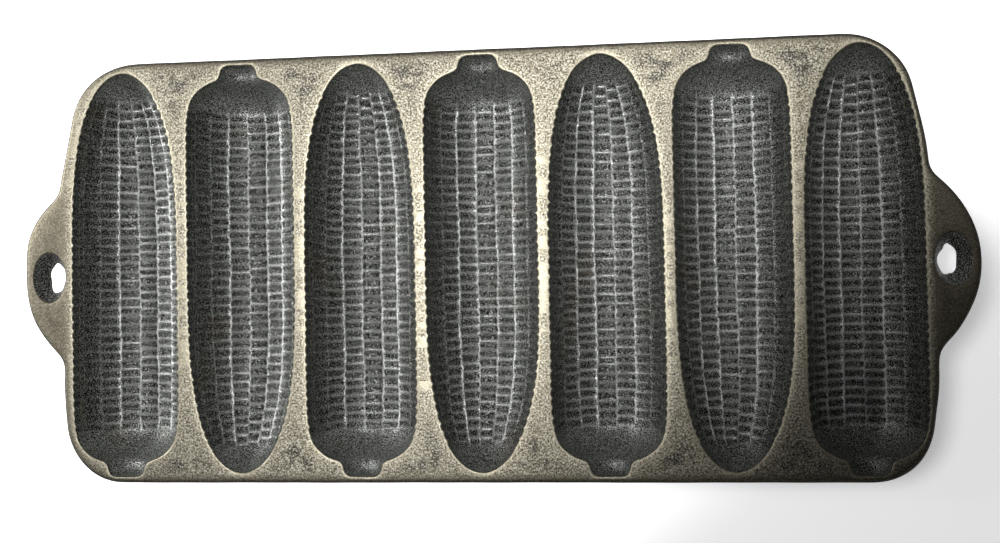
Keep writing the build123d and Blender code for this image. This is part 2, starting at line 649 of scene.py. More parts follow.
        # The line share falls off up the walls, which paints shade over the worn lines and bars there.
        rubbed = 1 - self.wall_shade_share * eased(steep, *self.wall_shade_angles)
        # The smooth ends get a share too, which paints light on their slopes.
        return height, fade * rubbed * np.maximum(line, bar) + self.end_light_share * (1 - fade)


def met(pair: np.ndarray, level: float) -> float:
    """Share of the way from one value to the next at which a level is met."""
    return float((level - pair[0]) / (pair[1] - pair[0]))


def stretch(side: np.ndarray, depth: float, count: int) -> tuple[np.ndarray, np.ndarray]:
    """Part of a cob's side that lies deeper than a depth under its axis.

    Args:
        side: places along the cob and radii.
        depth: the depth.
        count: how many places to give.

    Returns:
        Places and radii, evenly along that part of the side.
    """
    within = np.flatnonzero(side[:, 1] >= depth)
    first, last = within[0], within[-1]
    low = first if first == 0 else first - 1 + met(side[first - 1:first + 1, 1], depth)
    high = last if last == len(side) - 1 else last + met(side[last:last + 2, 1], depth)
    at, wanted = np.arange(len(side)), np.linspace(low, high, count)
    return np.interp(wanted, at, side[:, 0]), np.interp(wanted, at, side[:, 1])


@dataclass
class Cob:
    """One cavity: its form and kernels, and its place along the deck. Even ones lie the other way."""

    number: int
    centre: float
    form: CobForm
    kernels: Kernels
    most_lean: float = 0.8 * MM
    side: np.ndarray = field(init=False)
    lean: float = field(init=False)

    def __post_init__(self) -> None:
        """Works out the side of the cavity and how far its tip leans."""
        self.side = self.form.profile()
        draws = np.random.default_rng(Seed.LEAN + self.number)
        self.lean = draws.uniform(-self.most_lean, self.most_lean)

    def ring(self, depth: float, count: int) -> tuple[np.ndarray, np.ndarray]:
        """Edge of the cavity at a depth under the deck's top, as a closed ring.

        Args:
            depth: how far down the ring lies.
            count: points on each side of the cob.

        Returns:
            XY places about the cob's own middle, and each one's share of a kernel line.
        """
        places, radii = stretch(self.side, depth, count)
        angles = np.degrees(np.arccos(np.clip(depth / np.maximum(radii, TINY), 0, 1)))
        sides, shares = [], []
        for sign in (1, -1):
            height, share = self.kernels.relief(places, sign * angles, radii)
            across = sign * np.sqrt(np.maximum((radii - height) ** 2 - depth**2, 0))
            across[[0, -1]] = 0
            sides.append(np.column_stack([across, places]))
            shares.append(share)
        ring = np.concatenate([sides[0], sides[1][::-1][1:-1]])
        return ring, np.concatenate([shares[0], shares[1][::-1][1:-1]])

    def placed(self, points: np.ndarray) -> np.ndarray:
        """Leans the tip a little and puts the cob in its place on the pan.

        Args:
            points: places about the cob's own middle.

        Returns:
            The same points on the pan.
        """
        moved = points.copy()
        moved[..., 0] += self.lean * smooth_step(moved[..., 1] / self.form.tip_reach * 2 - 1)
        if self.number % 2 == 0:
            moved[..., :2] *= -1
        moved[..., 0] += self.centre
        return moved


@dataclass
class Cup:
    """Shell that hangs from the deck under one cob: the cavity's inside, its outside and its top edge."""

    cob: Cob
    top: float
    seam: float
    reach: float
    pitch: float
    half_length: float
    corner: float = 20.0 * MM
    inset: float = 0.8 * MM
    wall: float = 2.6 * MM
    flare: float = 1.1 * MM
    flare_height: float = 2.6 * MM
    rows: int = 460
    columns: int = 150
    outer_rows: int = 180
    outer_columns: int = 64

    def inner(self) -> tuple[np.ndarray, np.ndarray]:
        """Works out the cavity's surface under the deck.

        Returns:
            Rows and columns of points, and each one's share of a kernel line.
        """
        places, radii = stretch(self.cob.side, self.seam, self.rows)
        limit = np.arccos(np.clip(self.seam / radii, 0, 1))
        angles = limit[:, None] * np.linspace(1, -1, self.columns)
        height, share = self.cob.kernels.relief(places[:, None], np.degrees(angles), radii[:, None])
        reach = radii[:, None] - height
        across, depth = reach * np.sin(angles), reach * np.cos(angles)
        edge = np.sqrt(np.maximum(reach[:, [0, -1]] ** 2 - self.seam**2, 0))
        across[:, 0], across[:, -1] = edge[:, 0], -edge[:, 1]
        depth[:, [0, -1]] = self.seam
        across[[0, -1]], depth[[0, -1]] = 0, self.seam
        along = np.broadcast_to(places[:, None], across.shape)
        return np.stack([across, along, self.top - depth], axis=-1), share

    def outer(self) -> np.ndarray:
        """Works out the cup's outside, which spreads a little where it meets the deck.

        Returns:
            Rows and columns of points.
        """
        side = self.cob.form.profile(self.wall, self.reach)
        places, radii = stretch(side, self.seam, self.outer_rows)
        run, climb = np.gradient(places), np.gradient(radii)
        steep = np.hypot(run, climb)
        limit = np.arccos(np.clip(self.seam / radii, 0, 1))
        angles = limit[:, None] * np.linspace(1, -1, self.outer_columns)
        across, depth = radii[:, None] * np.sin(angles), radii[:, None] * np.cos(angles)
        depth[[0, -1]] = self.seam
        depth[:, [0, -1]] = self.seam
        near = np.clip(1 - (depth - self.seam) / self.flare_height, 0, 1) ** 2
        across = across + self.flare * near * np.sin(angles) * (run / steep)[:, None]
        along = places[:, None] - self.flare * near * (climb / steep)[:, None]
        across = np.clip(across, -self.pitch / 2, self.pitch / 2)
        along = np.clip(along, -self.reach, self.reach)
        return np.stack([across, along, self.top - depth], axis=-1)

    def under_deck(self, points: np.ndarray) -> np.ndarray:
        """Draws the cup's outside in under the deck's rounded corners.

        Args:
            points: places of the outside on the pan.

        Returns:
            The places, moved where they would stand out past a corner.
        """
        flat = np.abs(points[..., :2])
        straight = np.minimum(flat, np.array([self.half_length, self.reach]) - self.corner)
        beyond = flat - straight
        far = np.hypot(beyond[..., 0], beyond[..., 1])[..., None]
        beyond = beyond * np.minimum(1, (self.corner - self.inset) / np.maximum(far, TINY))
        return np.concatenate([np.sign(points[..., :2]) * (straight + beyond), points[..., 2:]], axis=-1)

    def build(self, material: bpy.types.Material) -> bpy.types.Object:
        """Builds the cup, dresses it and puts it in the frame.

        Args:
            material: the cup's finish.

        Returns:
            The cup's object.
        """
        name = f"kernel_cup_{self.cob.number}"
        inner, share = self.inner()
        inner, outer = self.cob.placed(inner), self.under_deck(self.cob.placed(self.outer()))
        rims = [np.concatenate([grid[:, 0], grid[::-1][1:-1, -1]])[:, :2] for grid in (outer, inner)]
        flat, faces = flat_sheet(rims, np.zeros((0, 2)))
        flat = np.column_stack([flat, np.full(len(flat), self.top - self.seam)])
        bare, level = np.zeros(outer.shape[:2]), np.zeros(len(flat))
        full = np.ones_like(share)
        piece = joined(name, [
            shaped_grid(name, inner, {"hollow": full, "line": share, "edge": full, "plain": full * 0}),
            shaped_grid(name, outer, {"hollow": bare, "line": bare, "edge": bare, "plain": bare}),
            sheet_object(name, flat, faces, {"hollow": level, "line": level, "edge": level, "plain": level}),
        ])
        finished(piece, f"cob_cup_{self.cob.number}", material)
        return piece


# Deck and ears
@dataclass(frozen=True)
class EarForm:
    """Sizes of an ear and its tapered hanging hole."""

    reach: float
    half_chord: float = 29.3 * MM
    shift: float = -1.3 * MM
    blend: float = 8.0 * MM
    thickness: float = 6.0 * MM
    thickens_over: float = 4.0 * MM
    hole_from_deck: float = 6.6 * MM
    hole_half_width: float = 6.1 * MM
    hole_half_length: float = 8.8 * MM
    hole_draft: float = 2.9 * MM
    hole_lip: float = 0.7 * MM
    hole_lip_share: float = 0.4
    hole_ragged: float = 0.6 * MM
    hole_points: int = 96
    hole_steps: int = 9


@dataclass
class Plate:
    """The deck and the two ears, shaped as one plate and then parted where the ears begin.

    The casting's two short sides are uneven. Each station of left_out and right_out is a Y in mm and how
    many mm the side stands out there. The top waves are lengths in mm, and the edge and lip waves are
    how many of them go round.
    """

    cobs: list[Cob]
    ear: EarForm
    top: float
    thickness: float
    half_length: float
    half_depth: float
    slant: float = 8.6 * MM
    tip_round: float = 22.0 * MM
    butt_round: float = 20.0 * MM
    edge_round: float = 1.3 * MM
    foot_round: float = 0.5 * MM
    draft: float = 0.15 * MM
    lip: float = 0.6 * MM
    waviness: float = 0.14 * MM
    rim_plain_share: float = 0.8
    rim_width: float = 3.0 * MM
    ear_edge: float = 3.0 * MM
    step: float = 1.0 * MM
    soften: int = 4
    out_shares: tuple[float, float] = (0.75, 0.95)
    unevenness: float = 0.07 * MM
    edge_waves: tuple[float, ...] = (7, 16, 43)
    top_waves: tuple[float, ...] = (71, 53, 31, 23, 14, 9.5)
    top_depth: float = 1.5 * MM
    lip_waves: tuple[float, ...] = (3, 11, 37)
    lip_unevenness: float = 0.25
    lip_line_share: float = 0.5
    lip_gap: float = 0.2 * MM
    hole_waves: tuple[float, ...] = (2, 3, 5)
    top_gap: float = 2.0 * MM
    foot_gap: float = 3.0 * MM
    scatter_share: float = 0.35
    clear_share: float = 0.6
    top_edge: float = 0.6
    hole_edge: float = 1.0
    left_out: tuple[tuple[float, float], ...] = (
        (-74, 0.3), (-66, 0.2), (-59, 0.4), (-52, 1.1), (-45, 1.7), (-36, 1.9), (-30, 1.2), (-24, 0.4),
        (-17, 0.7), (-10, 0.3), (-3, 0.0), (4, 0.4), (11, 1.8), (18, 2.4), (30, 2.7), (58, 2.7), (74, 2.0),
    )
    right_out: tuple[tuple[float, float], ...] = (
        (-74, 0.2), (-62, -0.5), (-53, -0.3), (-46, 1.0), (-40, 1.5), (-32, 1.5), (-26, 0.9), (-20, 0.2),
        (0, 0.0), (18, -0.4), (24, -0.5), (30, -0.3), (36, 0.5), (46, 0.6), (74, 0.3),
    )
    cob_points: int = 300
    wall_steps: int = 7
    round_steps: int = 5
    foot_steps: int = 3

    def spread(self, ring: np.ndarray) -> np.ndarray:
        """Works out how far the casting's two uneven sides stand out.

        Args:
            ring: XY places round the outline.

        Returns:
            One distance for each place.
        """
        out = np.zeros(len(ring))
        for side, stations in ((Side.LEFT, self.left_out), (Side.RIGHT, self.right_out)):
            levels, amounts = np.array(stations).T * MM
            here = np.interp(ring[:, 1], levels, amounts) * (np.sign(ring[:, 0]) == side.value)
            out += here * eased(np.abs(ring[:, 0]) / self.half_length, *self.out_shares)
        average = np.ones(2 * self.soften + 1) / (2 * self.soften + 1)
        return np.convolve(np.pad(out, self.soften, "wrap"), average, "valid")

    def outline(self) -> np.ndarray:
        """Draws the outline of the plate from above, with a slight unevenness.

        Returns:
            XY places, clockwise.
        """
        ear = self.ear
        circle = (ear.half_chord**2 + ear.reach**2) / (2 * ear.reach)
        middle = self.half_length + ear.reach - circle
        blend_x = self.half_length + ear.blend
        climb = math.sqrt((circle + ear.blend) ** 2 - (blend_x - middle) ** 2)
        turn = math.degrees(math.atan2(climb, blend_x - middle))
        start, tip, waist, butt, end = (np.array(place) for place in (
            (0, self.half_depth),
            (self.half_length - self.slant, self.half_depth),
            (self.half_length, ear.shift + climb),
            (self.half_length, -self.half_depth),
            (0, -self.half_depth),
        ))
        half = np.concatenate([
            [start],
            rounded_corner(start, tip, waist, self.tip_round),
            arc((blend_x, ear.shift + climb), ear.blend, 180, 180 + turn),
            arc((middle, ear.shift), circle, turn, -turn),
            arc((blend_x, ear.shift - climb), ear.blend, 180 - turn, 180),
            rounded_corner(waist, butt, end, self.butt_round),
            [end],
        ])
        half = spaced(half, round(np.hypot(*np.diff(half, axis=0).T).sum() / self.step))
        ring = np.concatenate([half, half[-2:0:-1] * (-1, 1)])
        limit = self.half_length + ear.reach
        ring[:, 0] = np.clip(ring[:, 0] + np.sign(ring[:, 0]) * self.spread(ring), -limit, limit)
        ring = sum(np.roll(ring, shift, axis=0) for shift in range(-2, 3)) / 5
        along = np.linspace(0, 1, len(ring), endpoint=False)
        lengths = tuple(1 / count for count in self.edge_waves)
        uneven = waves(along, lengths, np.random.default_rng(Seed.OUTLINE))
        return ring - outward(ring) * ((1 + uneven) * self.unevenness)[:, None]

    def under(self, places: np.ndarray) -> np.ndarray:
        """How thick the plate is at each XY place: the ears thicken away from the deck."""
        past = (np.abs(places[..., 0]) - self.half_length) / self.ear.thickens_over
        return self.thickness + (self.ear.thickness - self.thickness) * smooth_step(past)

    def sink(self, places: np.ndarray) -> np.ndarray:
        """Works out how far the uneven top lies under its highest level.

        Args:
            places: XY places.

        Returns:
            One depth for each place.
        """
        draws = np.random.default_rng(Seed.TOP)
        long_share, tallest = 0.7, 2.2
        total = np.zeros(places.shape[:-1])
        for length in self.top_waves:
            angle = draws.uniform(0, math.pi)
            along = places[..., 0] * math.cos(angle) + places[..., 1] * math.sin(angle)
            height = (length / self.top_waves[0]) ** long_share
            total += height * np.sin(2 * math.pi * (along / (length * MM) + draws.random()))
        return self.waviness * (0.5 + 0.5 * np.clip(total / tallest, -1, 1))

    def raised(self, places: np.ndarray, depth: float | np.ndarray) -> np.ndarray:
        """Adds heights to XY places, where the top's unevenness fades out downwards.

        Args:
            places: XY places.
            depth: how far each lies under the top.

        Returns:
            The places with their heights.
        """
        depth = np.broadcast_to(depth, places.shape[:-1])
        fade = 1 - smooth_step(depth / self.top_depth)
        return np.concatenate([places, (self.top - depth - self.sink(places) * fade)[..., None]], axis=-1)

    def outer_wall(self) -> np.ndarray:
        """Works out the plate's outer side, from its top face round to its underside.

        Returns:
            The points of its rings.
        """
        ring = self.outline()
        away = outward(ring)
        deep = self.under(ring)
        rows = []
        for turn in np.radians(np.linspace(0, 90, self.round_steps + 1)):
            inset = self.edge_round * (1 - math.sin(turn))
            rows.append(self.raised(ring - away * inset, self.edge_round * (1 - math.cos(turn))))
        upper, lower = 0.33, 0.67
        for share in (upper, lower):
            depth = self.edge_round + (deep - self.edge_round - self.foot_round) * share
            rows.append(self.raised(ring - away * self.draft * share, depth))
        for turn in np.radians(np.linspace(0, 90, self.foot_steps + 1)):
            inset = self.draft + self.foot_round * (1 - math.cos(turn))
            rows.append(self.raised(ring - away * inset, deep - self.foot_round * (1 - math.sin(turn))))
        return np.stack(rows)

    def opening(self, cob: Cob) -> tuple[np.ndarray, np.ndarray, np.ndarray]:
        """Works out one cavity's wall within the plate, with a rounded and worn lip.

        Args:
            cob: the cavity.

        Returns:
            The rings' points, each point's share of a kernel line and its share of the hollow.
        """
        base, line = cob.ring(0, self.cob_points)
        away = outward(base)
        draws = np.random.default_rng(Seed.LIP + cob.number)
        along = np.linspace(0, 1, len(base), endpoint=False)
        uneven = waves(along, tuple(1 / count for count in self.lip_waves), draws)
        lip = self.lip * (1 + self.lip_unevenness * uneven)[:, None]
        rows, lines, hollows = [], [], []
        for turn in np.radians(np.linspace(90, 0, self.round_steps + 1)):
            places = cob.placed(base + away * lip * (1 - math.cos(turn)))
            rows.append(self.raised(places, lip[:, 0] * (1 - math.sin(turn))))
            lines.append(line * math.cos(turn) * self.lip_line_share)
            hollows.append(np.full(len(base), 1 - turn / (math.pi / 2)))
        for depth in np.linspace(lip.max() + self.lip_gap, self.thickness, self.wall_steps):
            places, share = cob.ring(depth, self.cob_points)
            rows.append(self.raised(cob.placed(places), depth))
            lines.append(share)
            hollows.append(np.ones(len(base)))
        return np.stack(rows), np.stack(lines), np.stack(hollows)

    def hanging_hole(self, side: Side) -> np.ndarray:
        """Works out the tapered hanging hole of one ear, whose lower edge is uneven.

        Args:
            side: the ear's side.

        Returns:
            The points of its rings.
        """
        ear = self.ear
        taper_power, ragged_power, long_share = 1.2, 4, 0.2
        draws = np.random.default_rng(Seed.HOLE + side.value)
        share_round = np.linspace(0, 1, ear.hole_points, endpoint=False)
        lengths = tuple(1 / count for count in self.hole_waves)
        ragged = waves(share_round, lengths, draws)[:, None] * ear.hole_ragged
        turns = 2 * math.pi * share_round
        way = np.column_stack([np.cos(turns), np.sin(turns)])
        centre = np.array([side.value * (self.half_length + ear.hole_from_deck), ear.shift])
        half = np.array([ear.hole_half_width, ear.hole_half_length]) - ear.hole_lip * ear.hole_lip_share
        rows = []
        for turn in np.radians(np.linspace(90, 0, self.round_steps + 1)):
            places = centre + way * (half + ear.hole_lip * (1 - math.cos(turn)))
            rows.append(self.raised(places, ear.hole_lip * (1 - math.sin(turn))))
        for share in np.linspace(0.1, 1, ear.hole_steps):
            inset = ear.hole_draft * share**taper_power * (1 + long_share * way[:, 1:] ** 2)
            places = centre + way * (half - inset - ragged * share**ragged_power)
            rows.append(self.raised(places, ear.hole_lip + (self.under(places) - ear.hole_lip) * share))
        return np.stack(rows)

    def plain(self, points: np.ndarray, to_outline: np.ndarray) -> np.ndarray:
        """Works out where the plain skin is, on the ears and along the outer rim, less rubbed than the deck.

        Args:
            points: places on the plate.
            to_outline: how far each is from the outline.

        Returns:
            Each point's share of the plain skin.
        """
        across, along = np.abs(points[..., 0]), np.abs(points[..., 1] - self.ear.shift)
        on_ear = smooth_step((across - self.half_length) / self.ear_edge + 0.5)
        on_ear = on_ear * (1 - smooth_step((along - self.ear.half_chord) / self.ear.blend))
        return np.maximum(on_ear, self.rim_plain_share * (1 - smooth_step(to_outline / self.rim_width)))

    def scattered(self, rings: list[np.ndarray], gap: float, draws: np.random.Generator) -> np.ndarray:
        """Scatters places over the plate, clear of every ring.

        Args:
            rings: rings from above, the outline first.
            gap: space between places.
            draws: the source of the scatter.

        Returns:
            XY places.
        """
        reach = np.abs(rings[0]).max(axis=0)
        across, along = (np.arange(-limit, limit, gap) for limit in reach)
        grid = np.stack(np.meshgrid(across, along), axis=-1).reshape(-1, 2)
        grid = grid + draws.uniform(-self.scatter_share, self.scatter_share, grid.shape) * gap
        grid = grid[on_sheet(grid, rings)]
        return grid[ring_distances(grid, rings) > self.clear_share * gap]

    def build(self, deck_material: bpy.types.Material, ear_material: bpy.types.Material) -> None:
        """Builds the plate, parts it into the deck and the ears and puts them in the frame.

        Args:
            deck_material: the deck's finish.
            ear_material: the ears' finish.
        """
        plate = joined("deck_plate", self.walls_and_sheets())
        for side in Side:
            ear = plate.copy()
            ear.data = plate.data.copy()
            ear.name = ear.data.name = f"{side.name.lower()}_hanging_ear"
            bpy.context.scene.collection.objects.link(ear)
            part_at(ear, side.value * self.half_length, side.value, keep_beyond=True)
            finished(ear, f"{side.name.lower()}_ear", ear_material)
        for side in Side:
            part_at(plate, side.value * self.half_length, side.value, keep_beyond=False)
        finished(plate, "deck", deck_material)

    def walls_and_sheets(self) -> list[bpy.types.Object]:
        """Builds the plate's upright walls, and its top and underside between them.

        Returns:
            The meshes, which meet edge to edge.
        """
        draws = np.random.default_rng(Seed.SCATTER)
        points = self.outer_wall()
        walls = [points]
        bare = np.zeros(points.shape[:2])
        shares = {"hollow": bare, "line": bare, "edge": bare + self.top_edge}
        pieces = [closed_wall("side", points, shares | {"plain": self.plain(points, bare)})]
        for cob in self.cobs:
            points, line, hollow = self.opening(cob)
            walls.append(points)
            shares = {"hollow": hollow, "line": line, "edge": line * 0, "plain": line * 0}
            pieces.append(closed_wall("opening", points, shares))
        for side in Side:
            points = self.hanging_hole(side)
            walls.append(points)
            bare = np.zeros(points.shape[:2])
            hollow = bare + np.clip((np.arange(len(bare)) - 1) / (self.round_steps - 1), 0, 1)[:, None]
            shares = {"hollow": hollow, "line": bare, "edge": bare + self.hole_edge, "plain": bare + 1}
            pieces.append(closed_wall("hole", points, shares))
        for end, gap in ((0, self.top_gap), (-1, self.foot_gap)):
            rings = [wall[end, :, :2] for wall in walls]
            places, faces = flat_sheet(rings, self.scattered(rings, gap, draws))
            bare = np.zeros(len(places))
            upper = end == 0
            edge = plain = bare
            if upper:
                to_outline, to_lips = (ring_distances(places, group) for group in (rings[:1], rings[1:-2]))
                edge = np.minimum(to_outline / MM + self.top_edge, to_lips / MM)
                plain = self.plain(places, to_outline)
            sheet = self.raised(places, bare if upper else self.under(places))
            shares = {"hollow": bare, "line": bare, "edge": edge, "plain": plain}
            pieces.append(sheet_object("sheet", sheet, faces, shares))
        return pieces


# Finishes
def add_node(tree: bpy.types.NodeTree, kind: str, links: dict | None = None, **settings) -> bpy.types.Node:
    """Adds a node, sets it up and links or sets its inputs.

    Args:
        tree: the node tree that gets it.
        kind: the node's type name.
        links: input name or number to a socket that feeds it, or to its own value.
        settings: the node's own properties.

    Returns:
        The new node.
    """
    node = tree.nodes.new(kind)
    for name, value in settings.items():
        setattr(node, name, value)
    for name, source in (links or {}).items():
        if isinstance(source, bpy.types.NodeSocket):
            tree.links.new(source, node.inputs[name])
        else:
            node.inputs[name].default_value = source
    return node


@dataclass(frozen=True)
class CastIron:
    """Grey iron cast in sand, worn bright on its flat top and seasoned near black in its hollows.

    The grain that the sand leaves catches the light as fine pale and dark grains, the rubbed top is tan
    to cream, its rubbed edges are brighter still, and the oil baked onto the rest is a dark brown black.
    """

    name: str
    face: str = "b6ae97"
    skin: str = "756e5e"
    patch: str = "6f6b66"
    pit: str = "28241e"
    bright: str = "f8f5ea"
    lip: str = "e2dac0"
    under: str = "15110d"
    hollow: str = "afb2ab"
    hollow_dark: str = "0b0c0c"
    glint: str = "ffffff"
    rust: str = "6a4a2e"
    # Casting sand is about 0.2 mm across, too fine to show, so the grain on the worn top and the sand in
    # the hollows are drawn coarser. The pits, the patches and the drift of the rust have their real sizes.
    grain_size: float = 0.62 * MM
    sand_size: float = 0.42 * MM
    pit_size: float = 1.5 * MM
    patch_size: float = 5.0 * MM
    drift_size: float = 22.0 * MM
    worn_bump: float = 0.09 * MM
    hollow_bump: float = 0.12 * MM

    def shares(self, tree: bpy.types.NodeTree) -> dict[str, bpy.types.NodeSocket]:
        """Adds the nodes that say how the finish changes from place to place.

        Args:
            tree: the material's node tree.

        Returns:
            A socket for each share, by name.
        """
        place = add_node(tree, "ShaderNodeTexCoord").outputs["Object"]
        normal = add_node(tree, "ShaderNodeNewGeometry").outputs["Normal"]
        value = {"up": add_node(tree, "ShaderNodeSeparateXYZ", {0: normal}).outputs["Z"]}
        for name in ("hollow", "line", "edge", "plain"):
            value[name] = add_node(tree, "ShaderNodeAttribute", attribute_name=name).outputs["Fac"]
        for name, size, detail, rough in (
            ("grain", self.grain_size, 2.0, 0.7),
            ("sand", self.sand_size, 2.0, 0.7),
            ("pit", self.pit_size, 2.0, 0.5),
            ("patch", self.patch_size, 4.0, 0.6),
            ("drift", self.drift_size, 3.0, 0.5),
        ):
            value[name] = add_node(tree, "ShaderNodeTexNoise", {
                "Vector": place, "Scale": 1 / size, "Detail": detail, "Roughness": rough,
            }).outputs["Fac"]
        for name, source, low, high, most in (
            ("far", "edge", 1.0, 6.0, 1.0),
            ("near", "edge", 0.5, 0.0, 0.5),
            ("inner", "hollow", 0.3, 0.8, 1.0),
            ("tilted", "up", 0.98, 0.75, 1.0),
            ("outer", "hollow", 0.1, 0.0, 1.0),
            ("dull", "patch", 0.40, 0.60, 0.8),
            ("pits", "pit", 0.42, 0.32, 0.2),
            ("rusty", "drift", 0.60, 0.72, 0.25),
            ("lined", "line", 0.0, 0.85, 1.0),
            ("skinned", "plain", 0.0, 1.0, 0.75),
        ):
            value[name] = add_node(tree, "ShaderNodeMapRange", {
                "Value": value[source], "From Min": low, "From Max": high, "To Min": 0.0, "To Max": most,
            }, interpolation_type="SMOOTHSTEP").outputs["Result"]
        for name, first, second in (("patches", "far", "dull"), ("turned", "tilted", "outer")):
            value[name] = add_node(tree, "ShaderNodeMath", {0: value[first], 1: value[second]},
                                   operation="MULTIPLY").outputs[0]
        for name, source, shift, grain in (
            ("tone", "patches", -0.05, "grain"),
            ("struck", "lined", 0.24, "sand"),
        ):
            value[name] = add_node(tree, "ShaderNodeMath", {0: value[source], 1: shift, 2: value[grain]},
                                   operation="MULTIPLY_ADD").outputs[0]
        for name, source, low, high, most in (
            ("dark", "tone", 0.49, 0.38, 0.75),
            ("pale", "tone", 0.51, 0.62, 0.75),
            ("shade", "struck", 0.575, 0.49, 0.98),
            ("glint", "struck", 0.61, 0.7, 1.0),
        ):
            value[name] = add_node(tree, "ShaderNodeMapRange", {
                "Value": value[source], "From Min": low, "From Max": high, "To Min": 0.0, "To Max": most,
            }, interpolation_type="SMOOTHSTEP").outputs["Result"]
        value["shining"] = add_node(
            tree, "ShaderNodeMath", {0: value["inner"], 1: value["glint"]}, operation="MULTIPLY",
        ).outputs[0]
        return value

    def colour(
        self, tree: bpy.types.NodeTree, value: dict[str, bpy.types.NodeSocket],
    ) -> bpy.types.NodeSocket:
        """Adds the nodes that lay each colour over the last.

        Args:
            tree: the material's node tree.
            value: the shares, by name.

        Returns:
            The socket that holds the colour.
        """
        hollow = linear(self.hollow)
        for factor, layer in (("shade", self.hollow_dark), ("rusty", self.rust), ("glint", self.glint)):
            hollow = add_node(tree, "ShaderNodeMix", {0: value[factor], 6: hollow, 7: linear(layer)},
                              data_type="RGBA").outputs[2]
        colour = linear(self.face)
        for factor, layer in (("patches", linear(self.patch)), ("pits", linear(self.pit)),
                              ("dark", linear(self.pit)), ("pale", linear(self.bright)),
                              ("skinned", linear(self.skin)), ("near", linear(self.lip)),
                              ("turned", linear(self.under)), ("inner", hollow)):
            colour = add_node(tree, "ShaderNodeMix", {0: value[factor], 6: colour, 7: layer},
                              data_type="RGBA").outputs[2]
        return colour

    def material(self) -> bpy.types.Material:
        """Builds the finish.

        Returns:
            The material.
        """
        material = bpy.data.materials.new(self.name)
        material.use_nodes = True
        tree = material.node_tree
        tree.nodes.clear()
        value = self.shares(tree)
        rough, metal = 0.48, 0.95
        for factor, level in (("patches", 0.52), ("near", 0.4), ("turned", 0.6), ("inner", 0.56),
                              ("shining", 0.46)):
            rough = add_node(tree, "ShaderNodeMix", {0: value[factor], 2: rough, 3: level},
                             data_type="FLOAT").outputs[0]
        for factor, level in (("turned", 0.0), ("inner", 0.6), ("shining", 0.85)):
            metal = add_node(tree, "ShaderNodeMix", {0: value[factor], 2: metal, 3: level},
                             data_type="FLOAT").outputs[0]
        height = add_node(tree, "ShaderNodeMath", {0: value["grain"], 1: 0.5, 2: value["pit"]},
                          operation="MULTIPLY_ADD").outputs[0]
        height = add_node(tree, "ShaderNodeMix", {0: value["inner"], 2: height, 3: value["sand"]},
                          data_type="FLOAT").outputs[0]
        deep = add_node(tree, "ShaderNodeMix", {0: value["inner"], 2: self.worn_bump, 3: self.hollow_bump},
                        data_type="FLOAT").outputs[0]
        bump = add_node(tree, "ShaderNodeBump", {"Distance": deep, "Height": height})
        shader = add_node(tree, "ShaderNodeBsdfPrincipled", {
            "Base Color": self.colour(tree, value), "Metallic": metal, "Roughness": rough,
            "Normal": bump.outputs["Normal"], "Specular IOR Level": 0.3,
        })
        add_node(tree, "ShaderNodeOutputMaterial", {"Surface": shader.outputs["BSDF"]})
        return material


# Camera, light and floor
@dataclass(frozen=True)
class Lamp:
    """A soft round lamp whose light fades out from where it is aimed. Metres, degrees and watts."""

    name: str
    place: tuple[float, float, float]
    aim: tuple[float, float, float]
    radius: float
    cone: float
    blend: float
    watts: float

    def hang(self) -> bpy.types.Object:
        """Hangs the lamp.

        Returns:
            The lamp's object.
        """
        light = bpy.data.lights.new(self.name, "SPOT")
        light.shadow_soft_size, light.energy = self.radius, self.watts
        light.spot_size, light.spot_blend = math.radians(self.cone), self.blend
        lamp = bpy.data.objects.new(self.name, light)
        lamp.location = self.place
        lamp.rotation_euler = (Vector(self.aim) - Vector(self.place)).to_track_quat("-Z", "Y").to_euler()
        bpy.context.scene.collection.objects.link(lamp)
        return lamp


